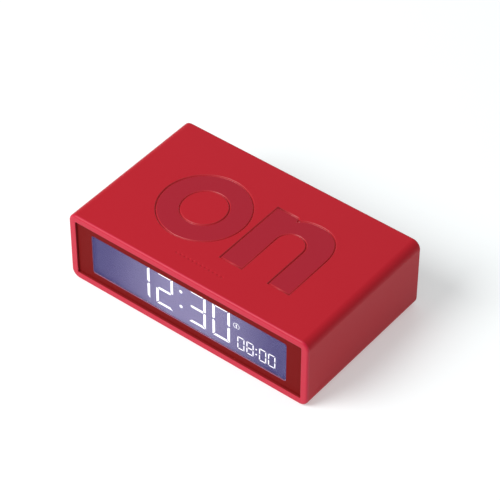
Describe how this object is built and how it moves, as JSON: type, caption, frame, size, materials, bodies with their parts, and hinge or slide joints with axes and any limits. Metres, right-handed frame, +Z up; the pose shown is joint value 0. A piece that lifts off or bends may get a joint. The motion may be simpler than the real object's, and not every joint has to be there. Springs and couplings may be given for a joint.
{
  "type": "travel alarm clock",
  "caption": "Flat box-shaped travel alarm clock with a wide front display, worked by turning it over; battery and setting keys at the back.",
  "frame": {"origin": "centre of the resting face, midway between the front and rear rims", "axes": "+X along the display to the viewer's right, the display faces -Y, +Z up through the broad faces"},
  "size_m": [0.085, 0.052, 0.0242],
  "materials": {
    "case_red": "soft-touch matt moulding",
    "trim_red": "fine satin moulding",
    "lens_clear": "polished clear acrylic",
    "polarizer": "satin film",
    "cell_glass": "clear",
    "white_film": "matt film",
    "guide_clear": "polished edge, frosted face",
    "lamp": "small white package with a yellow face",
    "frame_white": "as moulded",
    "flex_amber": "polyimide film",
    "tray_grey": "as moulded",
    "circuit_green": "solder mask",
    "screw_steel": "zinc plated",
    "ferrite": "sintered",
    "copper_wire": "enamelled winding",
    "black_moulding": "as moulded",
    "bright_metal": "drawn can",
    "capacitor_sleeve": "shrink sleeve",
    "chip_ceramic": "fired ceramic",
    "ball_steel": "polished",
    "disc_brass": "rolled",
    "touch_copper": "rolled foil",
    "contact_nickel": "nickel plated spring strip",
    "key_rubber": "fine matt",
    "plunger_dark": "as moulded",
    "cell_jacket": "printed steel can"
  },
  "bodies": {
    "root": {"antenna_coil": "copper_wire", "antenna_cradles": "black_moulding", "antenna_rod": "ferrite", "backlight_board": "circuit_green", "backlight_diffuser": "white_film", "backlight_leds": "lamp", "backlight_reflector": "white_film", "battery_cell": "cell_jacket", "battery_plate": "contact_nickel", "battery_spring": "contact_nickel", "board_screws": "screw_steel", "controller_chip": "black_moulding", "display_flex": "flex_amber", "display_lens": "lens_clear", "front_bezel": "trim_red", "housing_screws": "screw_steel", "inner_tray": "tray_grey", "key_switches": "black_moulding", "lcd_front_glass": "cell_glass", "lcd_front_polarizer": "polarizer", "lcd_holder": "frame_white", "lcd_rear_glass": "cell_glass", "lcd_rear_polarizer": "polarizer", "light_guide": "guide_clear", "main_board": "circuit_green", "outer_sleeve": "case_red", "quartz_crystal": "bright_metal", "rear_housing": "trim_red", "reservoir_capacitor": "capacitor_sleeve", "small_board_parts": "chip_ceramic", "sounder_case": "black_moulding", "sounder_disc": "disc_brass", "tilt_switch_base": "black_moulding", "tilt_switch_case": "black_moulding", "touch_contact": "contact_nickel", "touch_foil": "touch_copper"},
    "time_key": {"key_cap_time": "key_rubber", "key_plunger_time": "plunger_dark"},
    "alarm_key": {"key_cap_alarm": "key_rubber", "key_plunger_alarm": "plunger_dark"},
    "minus_key": {"key_cap_minus": "key_rubber", "key_plunger_minus": "plunger_dark"},
    "plus_key": {"key_cap_plus": "key_rubber", "key_plunger_plus": "plunger_dark"},
    "door": {"battery_door": "trim_red"},
    "tilt_ball": {"tilt_switch_ball": "ball_steel"}
  },
  "joints": [
    {"name": "time_key_press", "type": "slide", "parent": "root", "child": "time_key", "axis": [0, -1, 0], "range_m": [0, 0.0005], "stiffness_N_per_m": 300},
    {"name": "alarm_key_press", "type": "slide", "parent": "root", "child": "alarm_key", "axis": [0, -1, 0], "range_m": [0, 0.0005], "stiffness_N_per_m": 300},
    {"name": "minus_key_press", "type": "slide", "parent": "root", "child": "minus_key", "axis": [0, -1, 0], "range_m": [0, 0.0005], "stiffness_N_per_m": 300},
    {"name": "plus_key_press", "type": "slide", "parent": "root", "child": "plus_key", "axis": [0, -1, 0], "range_m": [0, 0.0005], "stiffness_N_per_m": 300},
    {"name": "battery_door_tilt", "type": "hinge", "parent": "root", "child": "door", "pos_m": [-0.01385, 0.0248, 0.0057], "axis": [-1, 0, 0], "range_deg": [0, 75]},
    {"name": "tilt_ball_drop", "type": "slide", "parent": "root", "child": "tilt_ball", "axis": [0, 0, 1], "range_m": [0, 0.0028]}
  ]
}
